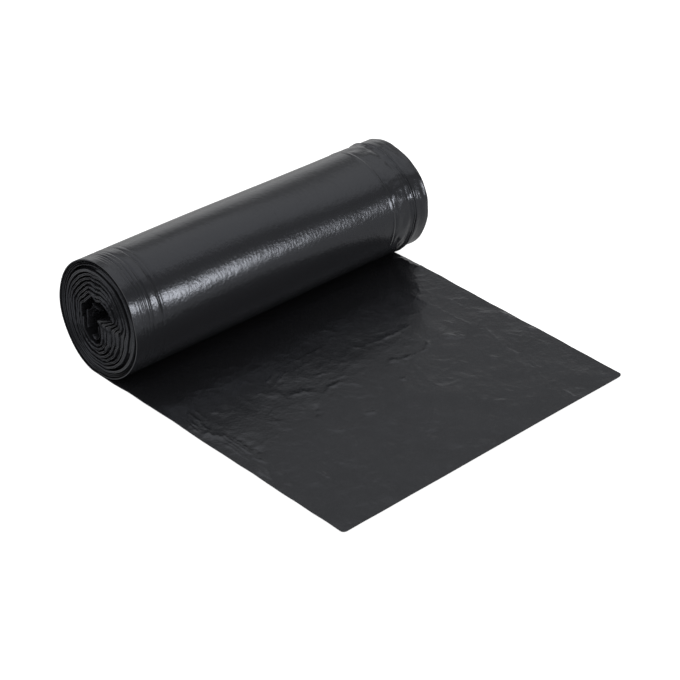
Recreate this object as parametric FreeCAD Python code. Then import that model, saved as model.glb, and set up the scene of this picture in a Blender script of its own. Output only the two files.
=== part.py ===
import FreeCAD, Part
import math
import os
from FreeCAD import Vector

# A coreless roll of folded black film sacks lies on its side, its leading end unrolled flat.
# X runs along the roll, the loose end points to -Y, Z is up, and everything is in millimetres.
# The film is one web: the loose end passes under the roll, up its back, over the top and down
# the front, and goes on winding inwards, tight at first and then slack and crumpled.

# The roll
roll_length = 225.0
roll_width = 65.8
roll_height = 70.6
flat_width = 11.0

# The loose end
tail_reach = 191.0
corner_radius = 2.5

# The web's edges against the ends of the roll
tail_near_proud = 0.9
tail_far_setback = 5.9
outer_turn_far_setback = 12.0

# The turns
film_stack = 0.6
air_gap = 0.4
tight_turns = 4
loose_turns = 8
loose_air_share = 0.22
slack = 4.3
slack_angle = 55.0
slack_spread_angle = 125.0
groove_depth = 8.0
hollow_height = 26.4
arcs_per_turn = 20

# The crumpled hollow, clockwise from the top as seen on the near end, drawn 26.4 high. Each point
# has the clock angle of the outer turn that it lies under, then its place right of and above the
# roll's middle. The sharp tongue at 99 degrees is the fold that pinches every turn at the front.
hollow_points = [
    (0, -0.5, 7.8),
    (28, 3.5, 6.9),
    (55, 6.0, 5.0),
    (80, 6.5, 2.6),
    (90, 2.5, 0.7),
    (99, -5.3, -2.6),
    (108, -3.2, -5.4),
    (122, -2.3, -10.0),
    (145, -2.2, -15.0),
    (168, -5.0, -18.2),
    (200, -9.5, -17.0),
    (232, -13.5, -11.5),
    (262, -14.8, -5.0),
    (285, -15.4, 0.4),
    (305, -12.3, 2.4),
    (325, -9.8, 6.0),
    (340, -7.6, 8.2),
    (350, -4.6, 6.6),
]

# What follows from those sizes
bottom_clock = 180.0
tight_pitch = film_stack + air_gap
tight_depth = tight_turns * tight_pitch
film_share = film_stack / tight_pitch
loose_film_share = 1.0 - loose_air_share
last_turn = tight_turns + loose_turns - loose_film_share
half_width = (roll_width + tight_pitch) / 2
flat_drop_share = 1.0 - math.sqrt(1.0 - (flat_width / 2 / half_width) ** 2)
half_height = (roll_height + tight_pitch / 2) / (2.0 - flat_drop_share)
centre_height = half_height * (1.0 - flat_drop_share)
flat_turn = math.degrees(math.asin(flat_width / 2 / half_width)) / 360.0
hollow_ups = [up for clock, right, up in hollow_points]
hollow_scale = hollow_height / (max(hollow_ups) - min(hollow_ups))


def hollow_edge(clock):
    """Place on the hollow's outline, smooth through its points, right of and above the middle."""
    count = len(hollow_points)
    clock = clock % 360.0
    at = max(i for i in range(count) if hollow_points[i][0] <= clock)

    def known(index):
        lap, row = divmod(index, count)
        angle, right, up = hollow_points[row]
        return angle + 360.0 * lap, right, up

    before, start, end, after = [known(at + k) for k in (-1, 0, 1, 2)]
    span = end[0] - start[0]
    f = (clock - start[0]) / span
    place = []
    for axis in (1, 2):
        lean_start = (end[axis] - before[axis]) / (end[0] - before[0]) * span
        lean_end = (after[axis] - start[axis]) / (after[0] - start[0]) * span
        value = start[axis] * (2 * f ** 3 - 3 * f ** 2 + 1) + lean_start * (f ** 3 - 2 * f ** 2 + f)
        value += end[axis] * (3 * f ** 2 - 2 * f ** 3) + lean_end * (f ** 3 - f ** 2)
        place.append(value * hollow_scale)
    return place


def round_edge(clock, inset):
    """Place on the roll's outline, set in by some depth and flat at the bottom."""
    angle = math.radians(clock)
    right = (half_width - inset) * math.sin(angle)
    up = (half_height - inset) * math.cos(angle)
    return right, max(up, inset - centre_height)


def slack_at(clock):
    """How far the loose turns have sunk away from the tight ones at a clock angle."""
    off = (clock - slack_angle + 180.0) % 360.0 - 180.0
    if abs(off) >= slack_spread_angle:
        return 0.0
    return slack * math.cos(math.radians(off / slack_spread_angle * 90.0)) ** 2


def film_share_at(turn):
    """Share of a turn's pitch that is film: thin where wound tight, puffed where loose."""
    ease = min(max(turn - tight_turns + 1.0, 0.0), 1.0)
    return film_share + (loose_film_share - film_share) * ease


def web_point(turn, inner):
    """Point on the web's outer or inner side after some turns, counted from under the roll."""
    clock = bottom_clock + 360.0 * turn
    depth = turn + (film_share_at(turn) if inner else 0.0)
    if depth <= tight_turns:
        right, up = round_edge(clock, depth * tight_pitch)
    else:
        sunk = slack_at(clock) if turn >= tight_turns else 0.0
        share = (depth - tight_turns) / loose_turns
        rim = round_edge(clock, tight_depth + sunk)
        hole = hollow_edge(clock)
        right, up = [r + (h - r) * share for r, h in zip(rim, hole)]
    return Vector(0, -right, up + centre_height)


def arc_ends(first, last):
    """Turn counts where arcs meet, the same on every turn, so that sides which touch coincide."""
    marks = sorted({0.0, flat_turn, last_turn % 1.0, 1.0 - flat_turn, 1.0})
    shares = []
    for start, end in zip(marks, marks[1:]):
        count = math.ceil((end - start) * arcs_per_turn)
        shares += [start + (end - start) * i / count for i in range(count)]
    laps = range(math.floor(first), math.ceil(last))
    between = [lap + share for lap in laps for share in shares]
    return [first] + [turn for turn in between if first + 1e-6 < turn < last - 1e-6] + [last]


def web_side(first, last, inner):
    """Edges along one side of the web between two turn counts, inwards."""
    edges = []
    ends = arc_ends(first, last)
    for start, end in zip(ends, ends[1:]):
        points = [web_point(turn, inner) for turn in (start, (start + end) / 2, end)]
        in_row = points[1].distanceToLine(points[0], points[2] - points[0]) < 0.001
        edges.append(line(points[0], points[2]) if in_row else Part.Arc(*points).toShape())
    return edges


def line(start, end):
    return Part.LineSegment(start, end).toShape()


def extruded(edges, x_start, x_end):
    """Solid between two places along X, from the edges of its section in order."""
    face = Part.Face(Part.Wire(edges))
    face.translate(Vector(x_start, 0, 0))
    return face.extrude(Vector(x_end - x_start, 0, 0))


def flat_run(turn):
    """The flat of the underside, from the middle to where the turn starts to rise."""
    return [line(web_point(0.0, False), web_point(turn, False))]


def wound_band(first, last, x_start, x_end):
    """Part of the wound web between two turn counts."""
    rise = max(first, flat_turn)
    edges = flat_run(rise) if first < rise else []
    edges += web_side(rise, last, False)
    edges.append(line(web_point(last, False), web_point(last, True)))
    edges += reversed(web_side(first, last, True))
    edges.append(line(web_point(first, True), web_point(first, False)))
    return extruded(edges, x_start, x_end)


def roll_body(x_start, x_end):
    """The roll between its two grooved ends: the outer turn's outline, less the hollow."""
    nip = web_point(1.0 - flat_turn, False)
    foot = Vector(0, nip.y, 0)
    edges = flat_run(flat_turn) + web_side(flat_turn, 1.0 - flat_turn, False)
    edges += [line(nip, foot), line(foot, web_point(0.0, False))]
    hole = web_side(last_turn - 1.0, last_turn, True)
    hole.append(line(web_point(last_turn, True), web_point(last_turn - 1.0, True)))
    return extruded(edges, x_start, x_end).cut(extruded(hole, x_start, x_end))


def loose_end(x_start, x_end):
    """The leading end of the web, flat on the surface, with its two front corners rounded."""
    sheet = Part.makeBox(x_end - x_start, tail_reach, film_stack, Vector(x_start, -tail_reach, 0))
    corners = []
    for edge in sheet.Edges:
        middle = edge.CenterOfMass
        upright = abs(middle.z - film_stack / 2) < film_stack / 4
        if upright and abs(middle.y + tail_reach) < film_stack and edge.Length < 2 * film_stack:
            corners.append(edge)
    return sheet.makeFillet(corner_radius, corners)


near_edge = -tail_near_proud
body_end = roll_length - outer_turn_far_setback
bag_roll = loose_end(near_edge, roll_length - tail_far_setback).fuse([
    roll_body(groove_depth, body_end),
    wound_band(0.0, 1.0, near_edge, groove_depth),
    wound_band(1.0, last_turn, 0.0, groove_depth),
    wound_band(1.0, last_turn, body_end, roll_length),
])

box = bag_roll.optimalBoundingBox(True, False)
bag_roll.translate(Vector(-box.Center.x, -box.Center.y, -box.ZMin))

os.makedirs("parts", exist_ok=True)
bag_roll.exportStep("parts/bag_roll.step")
print("solids", len(bag_roll.Solids), "valid", bag_roll.isValid(), "volume", bag_roll.Volume)
print("box", box)
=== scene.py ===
import math
import random
import bpy
import numpy as np
from mathutils import Matrix, Vector, noise


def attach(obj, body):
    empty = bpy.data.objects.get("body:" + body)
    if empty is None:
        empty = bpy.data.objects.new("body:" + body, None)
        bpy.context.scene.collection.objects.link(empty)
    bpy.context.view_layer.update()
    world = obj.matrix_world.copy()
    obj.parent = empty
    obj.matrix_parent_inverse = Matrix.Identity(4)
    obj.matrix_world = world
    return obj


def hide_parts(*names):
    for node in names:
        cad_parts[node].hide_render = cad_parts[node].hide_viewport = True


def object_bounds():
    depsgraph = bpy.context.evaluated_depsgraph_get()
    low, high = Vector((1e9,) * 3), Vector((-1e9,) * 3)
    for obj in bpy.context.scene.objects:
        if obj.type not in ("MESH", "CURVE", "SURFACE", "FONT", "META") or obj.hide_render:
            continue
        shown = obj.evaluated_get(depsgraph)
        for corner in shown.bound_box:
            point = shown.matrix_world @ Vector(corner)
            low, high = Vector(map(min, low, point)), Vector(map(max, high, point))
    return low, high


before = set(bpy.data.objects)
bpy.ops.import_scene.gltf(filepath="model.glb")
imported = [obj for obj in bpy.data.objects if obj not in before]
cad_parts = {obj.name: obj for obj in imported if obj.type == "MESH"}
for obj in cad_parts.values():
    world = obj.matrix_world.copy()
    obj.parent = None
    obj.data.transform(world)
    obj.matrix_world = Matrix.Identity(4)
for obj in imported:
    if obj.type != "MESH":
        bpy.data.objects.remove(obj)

cad_low, cad_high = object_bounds()

# The wound turns
# Folded black polythene film, wound on itself with no core. Each turn that shows on the ends is a
# bundle of many thin plies. The outer turns are tight, and the inner ones have sunk and crumpled.
roll_length = 0.225
roll_width = 0.0658
roll_height = 0.0706
flat_width = 0.011
film_stack = 0.0006
air_gap = 0.0004
tight_turns = 4
loose_turns = 8
loose_air_share = 0.22
slack = 0.0043
slack_clock = 55.0
slack_spread = 125.0
near_proud = 0.0009
turn_far_setback = 0.012

# The hollow's outline, clockwise from the top as seen on the near end: the clock angle of the
# outer turn that each point lies under, then its place right of and above the roll's middle.
hollow_points = [
    (0, -0.0005, 0.0078),
    (28, 0.0035, 0.0069),
    (55, 0.0060, 0.0050),
    (80, 0.0065, 0.0026),
    (90, 0.0025, 0.0007),
    (99, -0.0053, -0.0026),
    (108, -0.0032, -0.0054),
    (122, -0.0023, -0.0100),
    (145, -0.0022, -0.0150),
    (168, -0.0050, -0.0182),
    (200, -0.0095, -0.0170),
    (232, -0.0135, -0.0115),
    (262, -0.0148, -0.0050),
    (285, -0.0154, 0.0004),
    (305, -0.0123, 0.0024),
    (325, -0.0098, 0.0060),
    (340, -0.0076, 0.0082),
    (350, -0.0046, 0.0066),
]

tight_pitch = film_stack + air_gap
tight_depth = tight_turns * tight_pitch
film_share = film_stack / tight_pitch
last_turn = tight_turns + loose_turns - (1.0 - loose_air_share)
half_width = (roll_width + tight_pitch) / 2
flat_drop_share = 1.0 - math.sqrt(1.0 - (flat_width / 2 / half_width) ** 2)
half_height = (roll_height + tight_pitch / 2) / (2.0 - flat_drop_share)
centre_height = half_height * (1.0 - flat_drop_share)

# Places along the roll are counted from its near end, at -X. Clock angles are counted from the top
# towards the front, so the front is at 90 degrees and the underside at 180.
near_x = cad_low.x + near_proud
axis_y = cad_high.y - half_width + tight_pitch / 4

# The turns start hidden under the end of the outer turn, this far along the film.
turns_start = 0.96
turns_run = 0.4
rows_per_turn = 150

# The outline of the film's edge on each end of the roll: places across it from -1 to 1, and how far
# each is set back, as a share of the edge's rounding.
near_profile = [(-1.0, 1.0), (-0.82, 0.45), (-0.56, 0.10), (-0.34, 0.14), (-0.12, 0.48), (0.08, 0.44),
                (0.34, 0.0), (0.60, 0.08), (0.84, 0.46), (1.0, 1.0)]
far_profile = [(-1.0, 1.0), (-0.5, 0.15), (0.0, 0.0), (0.5, 0.15), (1.0, 1.0)]
near_nose = 0.0007
near_nose_loose = 0.0006
far_nose = 0.0004

# Film set back from the near end fills most of the gap outside each turn.
film_gap = 0.00012
slack_gap = 0.0005
ledge_back = 0.0005
slack_ledge_back = 0.0026

# Where a turn's two sides have points along the roll, closest where the outer turn bares them.
inner_side_x = [0.004, 0.007, 0.014, 0.04, 0.112, 0.185, 0.213, 0.220]
outer_side_x = [0.2240, 0.2232, 0.2224, 0.2216, 0.2208, 0.2200, 0.2192, 0.2184, 0.2176, 0.2168,
                0.2160, 0.2154, 0.2149, 0.2145, 0.2141, 0.2137, 0.2133, 0.2128, 0.211, 0.185, 0.16,
                0.12, 0.08, 0.03, 0.012]

# Outside that edge the bare turns stand out a little and are crinkled.
bare_turns = 2.3
bare_start = 0.0007
bare_run = 0.0012
bare_lift = 0.0009

# A dent in the inner turns at the upper left of the near end.
notch_clock = 341.0
notch_spread = 9.0
notch_depth = 0.0009

# The roll has sunk at its upper front towards the far end.
sag_depth = 0.0036
sag_clock = 15.0
sag_spread = 42.0
sag_start = 0.07
sag_end = 0.195

# Loose layers inside the hollow: the clock angles that each runs between, how far it stands off the
# hollow's wall at its middle and its end, and how far it is set back from the near end.
flaps = [
    (228, 352, 0.0014, 0.0026, 0.0020),
    (250, 318, 0.0034, 0.0050, 0.0052),
    (14, 84, 0.0010, 0.0019, 0.0026),
    (112, 205, 0.0010, 0.0016, 0.0018),
]
flap_rows = 60
flap_film = 0.00035
flap_length = 0.03
hollow_middle = Vector((-0.006, 0.0))


def wander(x, y, seed):
    """Smooth, repeatable unevenness between about -1 and 1."""
    return noise.noise(Vector((x, y, seed * 7.31)))


def clock_off(clock, middle):
    """Signed angle from one clock angle to another, the short way round."""
    return (clock - middle + 180.0) % 360.0 - 180.0


def hollow_edge(clock):
    """Place on the hollow's outline, smooth through its points, right of and above the middle."""
    count = len(hollow_points)
    clock = clock % 360.0
    at = max(i for i in range(count) if hollow_points[i][0] <= clock)
    known = []
    for step in (-1, 0, 1, 2):
        lap, row = divmod(at + step, count)
        angle, right, up = hollow_points[row]
        known.append((angle + 360.0 * lap, right, up))
    before, start, end, after = known
    span = end[0] - start[0]
    f = (clock - start[0]) / span
    place = []
    for axis in (1, 2):
        lean_start = (end[axis] - before[axis]) / (end[0] - before[0]) * span
        lean_end = (after[axis] - start[axis]) / (after[0] - start[0]) * span
        value = start[axis] * (2 * f ** 3 - 3 * f ** 2 + 1) + lean_start * (f ** 3 - 2 * f ** 2 + f)
        value += end[axis] * (3 * f ** 2 - 2 * f ** 3) + lean_end * (f ** 3 - f ** 2)
        place.append(value)
    return place


def round_edge(clock, inset):
    """Place on the roll's outline, set in by some depth and flat at the bottom."""
    angle = math.radians(clock)
    right = (half_width - inset) * math.sin(angle)
    up = (half_height - inset) * math.cos(angle)
    return right, max(up, inset - centre_height)


def slack_at(clock):
    """How far the loose turns have sunk away from the tight ones at a clock angle."""
    off = clock_off(clock, slack_clock)
    if abs(off) >= slack_spread:
        return 0.0
    return slack * math.cos(math.radians(off / slack_spread * 90.0)) ** 2


def web_place(turn, across):
    """Place right of and above the middle, some turns in from under the roll, and some share of
    the way through the film from its outer side."""
    clock = 180.0 + 360.0 * turn
    ease = min(max(turn - tight_turns + 1.0, 0.0), 1.0)
    film = film_share + (1.0 - loose_air_share - film_share) * ease
    depth = turn + film * across
    if depth <= tight_turns:
        return round_edge(clock, depth * tight_pitch)
    sunk = slack_at(clock) if turn >= tight_turns else 0.0
    share = (depth - tight_turns) / loose_turns
    rim = round_edge(clock, tight_depth + sunk)
    hole = hollow_edge(clock)
    return [r + (h - r) * share for r, h in zip(rim, hole)]


def sagged(x, place):
    """A place in the roll's section, moved inwards where the roll has sunk."""
    off = clock_off(math.degrees(math.atan2(place.x, place.y)), sag_clock)
    f = min(max((x - sag_start) / (sag_end - sag_start), 0.0), 1.0)
    depth = sag_depth * f * f * (3.0 - 2.0 * f) * math.exp(-(off / sag_spread) ** 2)
    return place * (1.0 - depth / half_width)


def looseness(turn):
    """0 on the tight turns, rising to 1 on the crumpled ones."""
    return min(max((turn - tight_turns) / 2.0, 0.0), 1.0)


def beside_slack(turn):
    """Whether a turn is the first loose one, which has sunk away from the tight ones."""
    return tight_turns <= turn < tight_turns + 1.0


def film_edge(turn, seed, profile, nose):
    """The rounded edge of the film's bundle of plies, as (depth, share through the film)."""
    back = nose * (0.25 + 0.5 * wander(turn * 3.0, 0.0, seed))
    return [(back + nose * sunk, 0.5 + side * 0.49) for side, sunk in profile]


def turns_section(turn, ledge):
    """The film's cross-section at one place along it, as (x, share through the film). The ledge is
    film set back from the end, which fills some of the gap outside the turn."""
    loose = looseness(turn)
    nose = near_nose + near_nose_loose * loose
    near = -0.0005 + loose * (0.0007 + 0.0014 * wander(turn * 5.0, 0.0, 1.0))
    near += 0.0003 * wander(turn * 14.0, 0.0, 2.0)
    near += 0.0003 * loose * wander(turn * 40.0, 0.0, 9.0)
    near = max(near, -0.0008)
    far = roll_length + 0.0002 - loose * (0.0010 + 0.0011 * wander(turn * 8.0, 0.0, 3.0))
    back = near + (slack_ledge_back if beside_slack(turn) else ledge_back + nose)
    loop = [(back + 0.0011, -ledge), (back + 0.0004, -ledge * 0.96), (back + 0.0002, -ledge * 0.62),
            (back + 0.0006, -ledge * 0.5), (back - 0.0001, -ledge * 0.3), (back - 0.0005, 0.0)]
    for depth, across in film_edge(turn, 4.0, near_profile, nose):
        loop.append((near + depth, across))
    loop += [(max(x, near + 0.0036), 1.0) for x in inner_side_x]
    for depth, across in film_edge(turn, 8.0, far_profile, far_nose):
        loop.append((far - depth, 1.0 - across))
    loop += [(min(x, far - 0.0009), 0.0) for x in outer_side_x]
    return loop


def crinkle(x, clock):
    """How far the film stands out where the inner turns are bare at the far end."""
    past = x - (roll_length - turn_far_setback)
    if past < 0.0:
        return 0.0
    rise = min(max((past - bare_start) / bare_run, 0.0), 1.0)
    lift = bare_lift * rise * rise * (3.0 - 2.0 * rise)
    lift += rise * 0.00026 * wander(x * 420.0, clock / 30.0, 11.0)
    return lift + rise * 0.00030 * wander(x * 120.0, clock / 10.0, 12.0)


def build_turns():
    """The wound film from under the outer turn to its end in the hollow, and the loose layers."""
    rows = int((last_turn - turns_start) * rows_per_turn)
    places = []
    faces = []
    marks = []
    along = turns_run
    previous = None
    for row in range(rows + 1):
        turn = turns_start + (last_turn - turns_start) * row / rows
        clock = (180.0 + 360.0 * turn) % 360.0
        outside = Vector(web_place(turn, 0.0))
        inside = Vector(web_place(turn, 1.0))
        thickness = (inside - outside).length
        sway = Vector((wander(clock / 9.0, turn * 0.7, 5.0), wander(clock / 9.0, turn * 0.7, 6.0)))
        sway *= 0.00045 * looseness(turn) * min(1.0, (last_turn - turn) * 2.0 + 0.3)
        notch = math.exp(-(clock_off(clock, notch_clock) / notch_spread) ** 2)
        notch *= min(max((turn - 6.5) / 2.0, 0.0), 1.0) * (0.8 + 1.1 * wander(turn * 1.7, 0.0, 7.0))
        sway -= outside.normalized() * notch_depth * notch
        gap = (outside - Vector(web_place(turn - 1.0, 1.0))).length
        ledge = max(gap - (slack_gap if beside_slack(turn) else film_gap), 0.0) / thickness
        if previous is not None:
            along += (outside - previous).length
        previous = outside
        through = 0.0
        last_mark = None
        section = turns_section(turn, ledge)
        for x, across in section:
            place = outside.lerp(inside, across) + sway
            if turn < bare_turns:
                place += place.normalized() * crinkle(x, clock) * min(1.0 - across, 1.0)
            place = sagged(x, place)
            places.append((near_x + x, axis_y - place.x, centre_height + place.y))
            if last_mark is not None:
                through += math.hypot(x - last_mark[0], (across - last_mark[1]) * thickness)
            last_mark = (x, across)
            marks.append((along, through))
    width = len(section)
    for row in range(rows):
        for k in range(width):
            a = row * width + k
            b = row * width + (k + 1) % width
            faces.append((a, b, b + width, a + width))
    faces.append(tuple(range(width - 1, -1, -1)))
    faces.append(tuple(rows * width + k for k in range(width)))
    for flap in flaps:
        add_flap(places, faces, marks, *flap)
    return places, faces, marks


def add_flap(places, faces, marks, clock_start, clock_end, middle_off, end_off, back):
    """Add one loose layer inside the hollow to the wound turns."""
    base = len(places)
    nose = flap_film * 0.5
    for row in range(flap_rows + 1):
        f = row / flap_rows
        clock = clock_start + (clock_end - clock_start) * f
        off = 4.0 * f * (1.0 - f) * middle_off + f * f * end_off + 0.0002
        off += 0.0003 * wander(clock / 11.0, back * 500.0, 51.0) * min(f * 4.0, 1.0)
        wall = Vector(hollow_edge(clock))
        ahead = Vector(hollow_edge(clock + 1.0)) - Vector(hollow_edge(clock - 1.0))
        inward = Vector((ahead.y, -ahead.x)).normalized()
        if inward.dot(hollow_middle - wall) < 0.0:
            inward = -inward
        begin = back + 0.0010 * wander(clock / 30.0, back * 700.0, 52.0)
        section = [(begin + nose, 0.0), (begin, nose), (begin + nose, flap_film),
                   (begin + 0.006, flap_film), (begin + flap_length, flap_film),
                   (begin + flap_length, 0.0), (begin + 0.006, 0.0)]
        for x, thick in section:
            place = wall + inward * (off + thick)
            places.append((near_x + x, axis_y - place.x, centre_height + place.y))
            marks.append((f * 0.02, x))
    width = len(section)
    for row in range(flap_rows):
        for k in range(width):
            a = base + row * width + k
            b = base + row * width + (k + 1) % width
            faces.append((a, b, b + width, a + width))
    faces.append(tuple(base + k for k in range(width - 1, -1, -1)))
    faces.append(tuple(base + flap_rows * width + k for k in range(width)))


def make_piece(name, places, faces, marks):
    """A mesh object with its place in its mesh, and a map of how the film runs."""
    mesh = bpy.data.meshes.new(name)
    mesh.from_pydata(places, [], faces)
    layer = mesh.uv_layers.new(name="film_run")
    index = np.zeros(len(mesh.loops), np.int32)
    mesh.loops.foreach_get("vertex_index", index)
    layer.data.foreach_set("uv", np.array(marks, np.float32)[index].ravel())
    mesh.validate()
    piece = bpy.data.objects.new(name, mesh)
    bpy.context.scene.collection.objects.link(piece)
    bpy.ops.object.select_all(action="DESELECT")
    bpy.context.view_layer.objects.active = piece
    piece.select_set(True)
    bpy.ops.object.mode_set(mode="EDIT")
    bpy.ops.mesh.select_all(action="SELECT")
    bpy.ops.mesh.normals_make_consistent(inside=False)
    bpy.ops.object.mode_set(mode="OBJECT")
    return piece


wound_turns = make_piece("wound_turns", *build_turns())
bpy.ops.object.shade_smooth_by_angle(angle=math.radians(60))


# The loose end
# The first sack's film, lying flat with its edge forwards and running in under the roll. It is
# creased along its old folds, rumpled at its near edge, and scattered with small handling creases.
tail_reach = 0.191
tail_far_setback = 0.0059
corner_radius = 0.0025
tail_step = 0.0008

# The underside of a sheet of film has one column of points to so many of the seen side's.
under_every = 24

# Each crease has its ends as (x from the roll's near end, distance in front of the roll's middle),
# then its height, its half width and how far it bows, all in metres.
creases = [
    ((0.1911, 0.0446), (0.1901, 0.0659), 0.00026, 0.0005, 0.0),
    ((0.1905, 0.0660), (0.1925, 0.1040), 0.00012, 0.0005, 0.0),
    ((0.2032, 0.0697), (0.2039, 0.0849), 0.00020, 0.0005, 0.0),
    ((0.1973, 0.1044), (0.1894, 0.1292), 0.00020, 0.0005, 0.0),
    ((0.1894, 0.1292), (0.1901, 0.1415), 0.00032, 0.0006, 0.0),
    ((0.1896, 0.1479), (0.1880, 0.1586), 0.00022, 0.0006, 0.0),
    ((0.1815, 0.1778), (0.1807, 0.1886), 0.00028, 0.0006, 0.0),
    ((0.2150, 0.0180), (0.2172, 0.0400), 0.00100, 0.0022, 0.0),
    ((0.1317, 0.0764), (0.1655, 0.0773), 0.00050, 0.0013, 0.001),
    ((0.1274, 0.0965), (0.1487, 0.1013), 0.00045, 0.0015, 0.001),
    ((0.1487, 0.1013), (0.1626, 0.0959), 0.00045, 0.0013, 0.001),
    ((0.1199, 0.1134), (0.1375, 0.1119), 0.00036, 0.0015, 0.001),
    ((0.1690, 0.0958), (0.1821, 0.1070), 0.00055, 0.0021, 0.001),
    ((0.1741, 0.1278), (0.1785, 0.1352), 0.00036, 0.0009, 0.0),
    ((0.1285, 0.0954), (0.1355, 0.0984), 0.00036, 0.0010, 0.0),
    ((0.0843, 0.0926), (0.0947, 0.0917), 0.00042, 0.0009, 0.001),
    ((0.0760, 0.0951), (0.0912, 0.0914), 0.00038, 0.0014, 0.001),
    ((0.0830, 0.1228), (0.0893, 0.1257), 0.00034, 0.0009, 0.001),
    ((0.0823, 0.1197), (0.0900, 0.1263), 0.00030, 0.0012, 0.003),
    ((0.0574, 0.1200), (0.0655, 0.1270), 0.00030, 0.0012, 0.002),
    ((0.0599, 0.0844), (0.0767, 0.0925), 0.00042, 0.0019, -0.002),
    ((0.0691, 0.1003), (0.0589, 0.1089), -0.00040, 0.0020, 0.0),
    ((0.0416, 0.0921), (0.0391, 0.1041), 0.00030, 0.0006, 0.0),
    ((0.0446, 0.0890), (0.0430, 0.0960), 0.00024, 0.0006, 0.0),
    ((0.0265, 0.1442), (0.0268, 0.1532), 0.00028, 0.0006, 0.0),
    ((0.0610, 0.0680), (0.0780, 0.0610), 0.00030, 0.0009, 0.0),
    ((0.0630, 0.0720), (0.0790, 0.0660), 0.00024, 0.0008, 0.0),
    ((0.0780, 0.0620), (0.1220, 0.0600), 0.00024, 0.0009, 0.001),
    ((0.0420, 0.0340), (0.0660, 0.0480), 0.00030, 0.0018, 0.0),
    ((0.1131, 0.1446), (0.1142, 0.1536), 0.00034, 0.0008, 0.001),
    ((0.1407, 0.1573), (0.1505, 0.1658), 0.00024, 0.0012, 0.001),
    ((0.0109, 0.0581), (0.0070, 0.0825), 0.00050, 0.0009, 0.0),
    ((0.0150, 0.0600), (0.0121, 0.0770), 0.00034, 0.0010, 0.0),
    ((0.0078, 0.0560), (0.0038, 0.0800), 0.00036, 0.0007, 0.0),
    ((0.0045, 0.0620), (0.0020, 0.0790), 0.00040, 0.0008, 0.0),
    ((0.0020, 0.0800), (0.0112, 0.0915), 0.00060, 0.0030, 0.0),
    ((0.0105, 0.0886), (0.0101, 0.1143), 0.00046, 0.0007, 0.0),
    ((0.0083, 0.0900), (0.0078, 0.1093), 0.00030, 0.0006, 0.0),
    ((0.0126, 0.0920), (0.0120, 0.1133), 0.00034, 0.0007, 0.0),
    ((0.0062, 0.0950), (0.0055, 0.1153), 0.00030, 0.0008, 0.0),
    ((0.0142, 0.0960), (0.0150, 0.1169), -0.00045, 0.0022, 0.0),
    ((0.0079, 0.1128), (0.0117, 0.1240), 0.00046, 0.0011, 0.0),
    ((0.0028, 0.1200), (0.0027, 0.1381), 0.00034, 0.0008, 0.0),
    ((0.0054, 0.1180), (0.0050, 0.1340), 0.00028, 0.0007, 0.0),
    ((0.0110, 0.1250), (0.0098, 0.1370), 0.00024, 0.0009, 0.0),
    ((0.0059, 0.1414), (0.0067, 0.1454), 0.00034, 0.0008, 0.0),
    ((0.2155, 0.1009), (0.2173, 0.1149), 0.00050, 0.0013, 0.0),
    ((0.2144, 0.1243), (0.2177, 0.1290), 0.00040, 0.0011, 0.0),
]
small_creases = 260
chance = random.Random(11)
for i in range(small_creases):
    x = chance.uniform(0.02, 0.212)
    front = chance.uniform(0.04, 0.186)
    lean = math.radians(chance.gauss(35.0, 40.0))
    reach = chance.uniform(0.002, 0.008)
    run = (math.cos(lean) * reach, math.sin(lean) * reach)
    low = (min(max(x - run[0], 0.001), 0.217), front - run[1])
    high = (min(max(x + run[0], 0.001), 0.217), front + run[1])
    creases.append((low, high, chance.uniform(0.00004, 0.00020), chance.uniform(0.0005, 0.0011),
                    chance.uniform(-0.001, 0.001)))


def creased(x, front):
    """Height of all the creases, over arrays of places."""
    total = np.zeros(x.shape)
    for number, (start, end, tall, half, bow) in enumerate(creases):
        run = (end[0] - start[0], end[1] - start[1])
        length = math.hypot(*run)
        u = ((x - start[0]) * run[0] + (front - start[1]) * run[1]) / length ** 2
        inside = (u > 0.0) & (u < 1.0)
        u = np.clip(u, 0.0, 1.0)
        mark = u * length * 1000.0 + number * 2.1
        off = ((x - start[0]) * run[1] - (front - start[1]) * run[0]) / length
        off = off + bow * 4.0 * u * (1.0 - u)
        off = off + half * 0.25 * (np.sin(mark * 0.55) + np.sin(mark * 1.27))
        break_up = 0.70 + 0.15 * np.sin(mark * 0.83) + 0.2 * np.sin(mark * 0.37 + number)
        profile = np.exp(-np.abs(off / half) ** 1.15) * np.sin(np.pi * u) ** 0.6 * break_up
        total += np.where(inside, tall * profile, 0.0)
    return total


def tail_waves(x, front):
    """How high the loose end lies off the surface at a place, apart from its creases."""
    height = 0.00045 * (1.0 + wander(x * 24.0, front * 24.0, 21.0))
    height += 0.00020 * (1.0 + wander(x * 65.0, front * 65.0, 22.0))
    height += 0.00007 * (1.0 - 2.0 * abs(wander(x * 120.0, front * 120.0, 23.0)))
    return height


def spaced(stretches):
    """Places from stretches of (start, end, step)."""
    places = []
    for start, end, step in stretches:
        count = round((end - start) / step)
        places += [start + (end - start) * i / count for i in range(count)]
    return places + [stretches[-1][1]]


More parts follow.
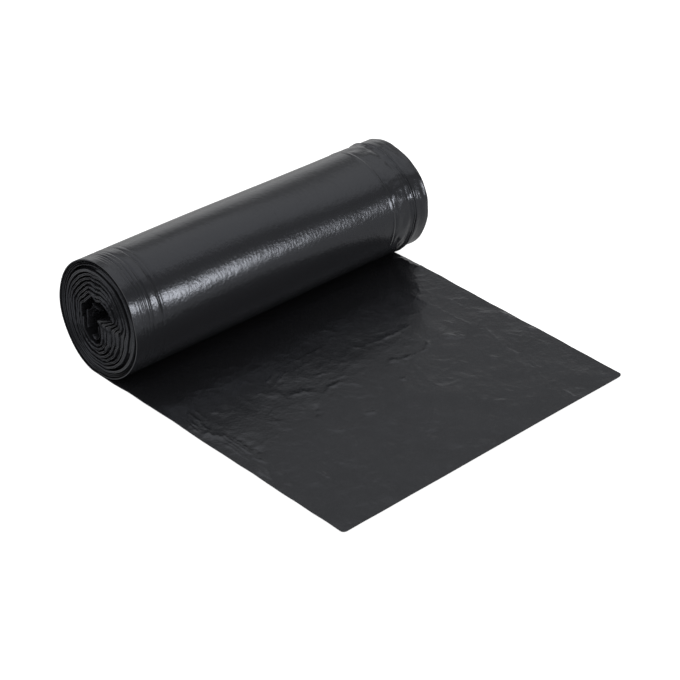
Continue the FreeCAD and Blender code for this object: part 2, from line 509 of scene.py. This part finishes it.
def film_shell(fine, back, marks):
    """Closed film from a fine grid on its seen side and the same grid's far side, of which only
    some columns are used. Returns places, faces and marks."""
    rows, width = fine.shape[:2]
    used = list(range(0, width - 1, under_every)) + [width - 1]
    places = np.concatenate([fine.reshape(-1, 3), back[:, used].reshape(-1, 3)])
    runs = np.concatenate([marks.reshape(-1, 2), marks[:, used].reshape(-1, 2)])
    base = rows * width
    few = len(used)
    faces = []
    for row in range(rows - 1):
        for k in range(width - 1):
            a = row * width + k
            faces.append((a, a + width, a + width + 1, a + 1))
        for k in range(few - 1):
            a = base + row * few + k
            faces.append((a, a + 1, a + few + 1, a + few))
        a, b = row * width, base + row * few
        faces.append((a, b, b + few, a + width))
        a, b = a + width - 1, b + few - 1
        faces.append((a, a + width, b + few, b))
    last, last_back = (rows - 1) * width, base + (rows - 1) * few
    faces.append(list(range(width)) + [base + k for k in range(few - 1, -1, -1)])
    faces.append([last + k for k in range(width - 1, -1, -1)] + [last_back + k for k in range(few)])
    return places.tolist(), faces, runs.tolist()


def build_tail():
    """The flat film from its leading edge to under the roll's middle, with its corners rounded."""
    columns = spaced([(0.0, 0.022, 0.0005), (0.022, 0.182, 0.0010), (0.182, 0.221, 0.0006)])
    fronts = spaced([(0.0, 0.0028, 0.0004), (0.0028, tail_reach, tail_step)])
    grid = np.zeros((len(fronts), len(columns), 2))
    waves = np.zeros(grid.shape[:2])
    for row, along in enumerate(fronts):
        front = tail_reach - along
        inset = max(0.0, corner_radius - along)
        cut = corner_radius - math.sqrt(max(corner_radius ** 2 - inset ** 2, 0.0))
        near = cut - near_proud
        near += 0.0003 * (wander(front * 70.0, 0.0, 41.0) + wander(front * 25.0, 0.0, 42.0))
        far = roll_length - tail_far_setback - cut
        far += 0.0004 * (wander(front * 60.0, 0.0, 43.0) + wander(front * 20.0, 0.0, 44.0))
        for k, column in enumerate(columns):
            x = near + (far - near) * column / columns[-1]
            grid[row, k] = (x, front)
            waves[row, k] = tail_waves(x, front)
    x, front = grid[..., 0], grid[..., 1]
    fade = np.clip((front - 0.012) / 0.012, 0.0, 1.0)
    waves *= fade
    top = waves + creased(x, front) * fade + film_stack
    flat = np.stack([near_x + x, axis_y - front], axis=-1)
    fine = np.concatenate([flat, top[..., None]], axis=-1)
    back = np.concatenate([flat, waves[..., None]], axis=-1)
    return film_shell(fine, back, np.stack([tail_reach - front, x], axis=-1))


loose_end = make_piece("loose_end", *build_tail())
bpy.ops.object.shade_smooth_by_angle(angle=math.radians(50))


# The outer turn
# The same film once round the roll. It has thin creases round its near end, and a fold line and
# crumpled film round its far end, where its edge stops short of the turns below.
turn_rows = 180

# Each crease has its place along the roll, its depth and its half width. They are deepest on top.
near_creases = [
    (0.0034, 0.00012, 0.00040),
    (0.0052, 0.00018, 0.00040),
    (0.0073, 0.00032, 0.00048),
    (0.0095, 0.00025, 0.00042),
    (0.0120, 0.00032, 0.00052),
    (0.0183, 0.00036, 0.00052),
    (0.0215, 0.00012, 0.00060),
    (0.0430, 0.00007, 0.00045),
]
crease_top_clock = 10.0
crease_top_spread = 45.0
fold_line_x = 0.1958

# The near end is pressed in a little at the front.
dent_depth = 0.0007
dent_reach = 0.020
dent_clock = 70.0
dent_spread = 14.0

# The far edge curls out most where the roll turns under.
curl_clock = 125.0
curl_spread = 28.0


def roll_lift(x, clock, far):
    """How far the outer turn stands out from its smooth course at a place."""
    lift = 0.00020 * wander(x * 12.0, clock / 40.0, 31.0)
    dent = math.exp(-(x / dent_reach) ** 2)
    dent *= math.exp(-(clock_off(clock, dent_clock) / dent_spread) ** 2)
    lift -= dent_depth * dent
    lift += 0.00004 * wander(x * 60.0, clock / 14.0, 32.0)
    for place, deep, half in near_creases:
        off = x - place - 0.0005 * wander(clock / 35.0, place * 900.0, 33.0)
        if abs(off) < half * 4.0:
            strength = 0.75 + 0.6 * wander(clock / 22.0, place * 500.0, 34.0)
            strength += 0.9 * math.exp(-(clock_off(clock, crease_top_clock) / crease_top_spread) ** 2)
            lift -= deep * max(strength, 0.15) * math.exp(-abs(off / half) ** 1.3)
    off = x - fold_line_x - 0.0005 * wander(clock / 30.0, 1.0, 35.0)
    lift += 0.00038 * math.exp(-abs(off / 0.0006))
    lift -= 0.00022 * math.exp(-abs((off - 0.0013) / 0.0007))
    if off > 0.0:
        ease = min(off / 0.004, 1.0)
        lift += ease * 0.00060 * (0.4 - abs(wander(x * 75.0, clock / 15.0, 36.0)))
        lift += ease * 0.00030 * wander(x * 170.0, clock / 9.0, 37.0)
        lift += ease * 0.00007 * wander(x * 420.0, clock / 6.0, 38.0)
        short = far - x
        curl = 0.8 + 0.5 * wander(clock / 16.0, 2.0, 39.0)
        curl *= 1.0 + 0.6 * math.exp(-(clock_off(clock, curl_clock) / curl_spread) ** 2)
        lift += 0.00045 * curl * math.exp(-short / 0.0018)
        lift += 0.00022 * math.exp(-((short - 0.0005) / 0.0005) ** 2)
        lift -= 0.00028 * curl * math.exp(-((short - 0.0036) / 0.0013) ** 2)
    return lift


def build_outer_turn():
    """The film once round the outside of the roll, from under it to under it."""
    columns = spaced([(0.0, 0.024, 0.0004), (0.024, 0.190, 0.0014), (0.190, 0.217, 0.0005),
                      (0.217, 0.221, 0.00025)])
    shape = (turn_rows + 1, len(columns))
    fine, back, marks = np.zeros(shape + (3,)), np.zeros(shape + (3,)), np.zeros(shape + (2,))
    along = tail_reach
    previous = None
    for row in range(turn_rows + 1):
        turn = row / turn_rows
        clock = 180.0 + 360.0 * turn
        outside = Vector(web_place(turn, 0.0))
        inside = Vector(web_place(turn, 1.0))
        radial = (outside - inside).normalized()
        if previous is not None:
            along += (outside - previous).length
        previous = outside
        ease = min(max((turn - 0.15) / 0.3, 0.0), 1.0)
        setback = tail_far_setback
        setback += (turn_far_setback - tail_far_setback) * ease * ease * (3.0 - 2.0 * ease)
        begin = min(turn * 8.0, 1.0)
        far = roll_length - setback + 0.0007 * begin * wander(turn * 13.0, 0.0, 45.0)
        near = -near_proud + 0.0004 * begin * wander(turn * 9.0, 0.0, 46.0)
        settle = min(max((turn - 0.03) / 0.08, 0.0), 1.0) * min(max((1.0 - turn) / 0.06, 0.0), 1.0)
        for k, column in enumerate(columns):
            x = near + (far - near) * column / columns[-1]
            out = outside + radial * roll_lift(x, clock, far) * settle
            under = sagged(x, out - radial * film_stack)
            out = sagged(x, out)
            fine[row, k] = (near_x + x, axis_y - out.x, centre_height + out.y)
            back[row, k] = (near_x + x, axis_y - under.x, centre_height + under.y)
            marks[row, k] = (along, x)
    return film_shell(fine, back, marks)


outer_turn = make_piece("outer_turn", *build_outer_turn())
bpy.ops.object.shade_smooth_by_angle(angle=math.radians(50))


# The film's finish
# Black polythene: a dark body under a clear semi-gloss surface. It has a fine grain all over, and
# where it is wound on the roll, fine streaks that run round it.
class Sock:
    """One value in a shader. Sums written with it add their own Math nodes."""

    def __init__(self, nodes, link):
        self.nodes = nodes
        self.link = link

    def math(self, operation, other, swap=False):
        values = [other, self] if swap else [self, other]
        return self.nodes.add("ShaderNodeMath", {"operation": operation}, values)

    def __add__(self, other):
        return self.math("ADD", other)

    def __sub__(self, other):
        return self.math("SUBTRACT", other)

    def __mul__(self, other):
        return self.math("MULTIPLY", other)

    def __rsub__(self, other):
        return self.math("SUBTRACT", other, True)

    __radd__ = __add__
    __rmul__ = __mul__


class Nodes:
    """The node tree of one finish."""

    def __init__(self, tree):
        self.tree = tree

    def add(self, kind, settings=None, values=(), out=0):
        node = self.tree.nodes.new(kind)
        for key, value in (settings or {}).items():
            setattr(node, key, value)
        pairs = values.items() if isinstance(values, dict) else enumerate(values)
        for key, value in pairs:
            if isinstance(value, Sock):
                self.tree.links.new(value.link, node.inputs[key])
            else:
                node.inputs[key].default_value = value
        return Sock(self, node.outputs[out])


film_colour = (0.0135, 0.0138, 0.0154, 1.0)
film_tint = (0.86, 0.90, 1.0, 1.0)
film_rough = 0.22
rough_spread = 0.10
streak_share = 1.1
grain_share = 1.9
cloud_share = 4.0
bump_depth = 0.00006

film = bpy.data.materials.new("black_film")
film.use_nodes = True
nodes = Nodes(film.node_tree)
shader = film.node_tree.nodes["Principled BSDF"]
run = nodes.add("ShaderNodeUVMap", {"uv_map": "film_run"})
streak_run = nodes.add("ShaderNodeMapping", values={"Vector": run, "Scale": (220.0, 620.0, 1.0)})
streak = nodes.add("ShaderNodeTexNoise", values={"Vector": streak_run, "Scale": 1.0, "Detail": 2.0})
along_film = nodes.add("ShaderNodeSeparateXYZ", values=[run], out="X")
on_roll = nodes.add("ShaderNodeMath", {"operation": "GREATER_THAN"}, [along_film, tail_reach])
place = nodes.add("ShaderNodeTexCoord", out="Object")
grain = nodes.add("ShaderNodeTexNoise", values={"Vector": place, "Scale": 520.0, "Detail": 4.0})
cloud = nodes.add("ShaderNodeTexNoise", values={"Vector": place, "Scale": 45.0, "Detail": 3.0})
height = streak * on_roll * streak_share + grain * grain_share + cloud * cloud_share
bump = nodes.add("ShaderNodeBump", values={"Height": height, "Distance": bump_depth, "Strength": 1.0})
film.node_tree.links.new(bump.link, shader.inputs["Normal"])
rough = cloud * rough_spread + (film_rough - rough_spread / 2)
film.node_tree.links.new(rough.link, shader.inputs["Roughness"])
shader.inputs["Base Color"].default_value = film_colour
shader.inputs["IOR"].default_value = 1.5
shader.inputs["Specular Tint"].default_value = film_tint
for piece in (wound_turns, loose_end, outer_turn):
    piece.data.materials.append(film)
    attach(piece, "root")
    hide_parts("bag_roll")


# The studio
# A white floor in a white room, seen at the photograph's angle. One soft lamp low in front of the
# roll lights the roll alone, because the flat film would mirror it from behind.
camera_aim = Vector((0.01288, 0.01771, 0.0))
camera_azimuth = math.radians(-46.287)
camera_elevation = math.radians(32.443)
camera_roll = math.radians(3.095)
camera_distance = 1.2574
camera_lens = 117.24

camera = bpy.data.objects.new("camera", bpy.data.cameras.new("camera"))
camera.data.lens = camera_lens
facing = Matrix.Rotation(camera_azimuth, 4, "Z")
facing = facing @ Matrix.Rotation(math.pi / 2 - camera_elevation, 4, "X")
facing = facing @ Matrix.Rotation(camera_roll, 4, "Z")
from_aim = facing @ Vector((0.0, 0.0, camera_distance))
camera.matrix_world = Matrix.Translation(camera_aim + from_aim) @ facing
bpy.context.scene.collection.objects.link(camera)
bpy.context.scene.camera = camera


def ramp(value, start, end):
    """0 to 1 between two values, eased at both."""
    return value.nodes.add("ShaderNodeMapRange", {"interpolation_type": "SMOOTHSTEP"},
                           {"Value": value, "From Min": start, "From Max": end})


bpy.ops.mesh.primitive_plane_add(size=8.0, location=(0.0, 0.0, -0.0002))
floor = bpy.context.object
floor.name = "floor"
white = bpy.data.materials.new("floor_white")
white.use_nodes = True
nodes = Nodes(white.node_tree)
paper = nodes.add("ShaderNodeBsdfDiffuse", values={"Color": (0.8, 0.8, 0.8, 1.0)})
glow = nodes.add("ShaderNodeEmission", values={"Color": (1.0, 1.0, 1.0, 1.0), "Strength": 0.86})
both = nodes.add("ShaderNodeAddShader", values=[paper, glow])
dim = nodes.add("ShaderNodeBsdfDiffuse", values={"Color": (0.8, 0.8, 0.8, 1.0)})
seen = nodes.add("ShaderNodeLightPath", out="Is Camera Ray")
seen = seen + nodes.add("ShaderNodeLightPath", out="Is Transmission Ray")
place = nodes.add("ShaderNodeTexCoord", out="Object")
# Painted light: beside the near end the floor glows brighter to glossy and diffuse rays, as a painted
# pool of light from that side, so the near end mirrors a lighter floor.
painted_glow_beside_near_end = ramp(nodes.add("ShaderNodeSeparateXYZ", values=[place], out="X"), -0.09, -0.14)
shown = seen + painted_glow_beside_near_end * 0.25 * (1.0 - seen)
mixed = nodes.add("ShaderNodeMixShader", values=[shown, dim, both])
white.node_tree.links.new(mixed.link, white.node_tree.nodes["Material Output"].inputs["Surface"])
floor.data.materials.append(white)


def lamp(name, azimuth, elevation, distance, width, tall, power):
    """A soft box that faces the roll from a direction, with azimuth 0 in front of it."""
    data = bpy.data.lights.new(name, "AREA")
    data.shape = "RECTANGLE"
    data.size = width
    data.size_y = tall
    data.energy = power
    item = bpy.data.objects.new(name, data)
    a, e = math.radians(azimuth), math.radians(elevation)
    towards = Vector((math.sin(a) * math.cos(e), -math.cos(a) * math.cos(e), math.sin(e)))
    item.location = towards * distance
    item.rotation_euler = towards.to_track_quat("Z", "Y").to_euler()
    item.visible_camera = False
    bpy.context.scene.collection.objects.link(item)
    return item


front_lamp = lamp("front_lamp", 28.0, 16.8, 2.2, 0.70, 0.52, 18.5)
lit = bpy.data.collections.new("lit_by_front_lamp")
lit.objects.link(outer_turn)
lit.objects.link(wound_turns)
front_lamp.light_linking.receiver_collection = lit

world = bpy.data.worlds.new("room")
bpy.context.scene.world = world
world.use_nodes = True
nodes = Nodes(world.node_tree)
backdrop = world.node_tree.nodes["Background"]
backdrop.inputs["Color"].default_value = (1.0, 1.0, 1.0, 1.0)
camera_ray = nodes.add("ShaderNodeLightPath", out="Is Camera Ray")
glossy_ray = nodes.add("ShaderNodeLightPath", out="Is Glossy Ray")
clear_ray = nodes.add("ShaderNodeLightPath", out="Is Transmission Ray")
view = nodes.add("ShaderNodeTexCoord", out="Generated")
side = nodes.add("ShaderNodeSeparateXYZ", values=[view], out="Y")
up = nodes.add("ShaderNodeSeparateXYZ", values=[view], out="Z")

# The film mirrors a bright ceiling, a bright wall low behind it and a dim room elsewhere.
overhead = ramp(up, 0.57, 0.71) * ramp(side, -0.50, -0.25)
low_back = ramp(up, 0.61, 0.26) * ramp(side, 0.0, 0.5)
room = overhead * 0.80 + low_back * 0.70 + 0.25
strength = camera_ray * 1.0 + clear_ray * 1.0 + glossy_ray * room
plain = 1.0 - camera_ray - clear_ray - glossy_ray
strength = strength + plain * 0.64
world.node_tree.links.new(strength.link, backdrop.inputs["Strength"])

bpy.context.scene.view_settings.view_transform = "Standard"
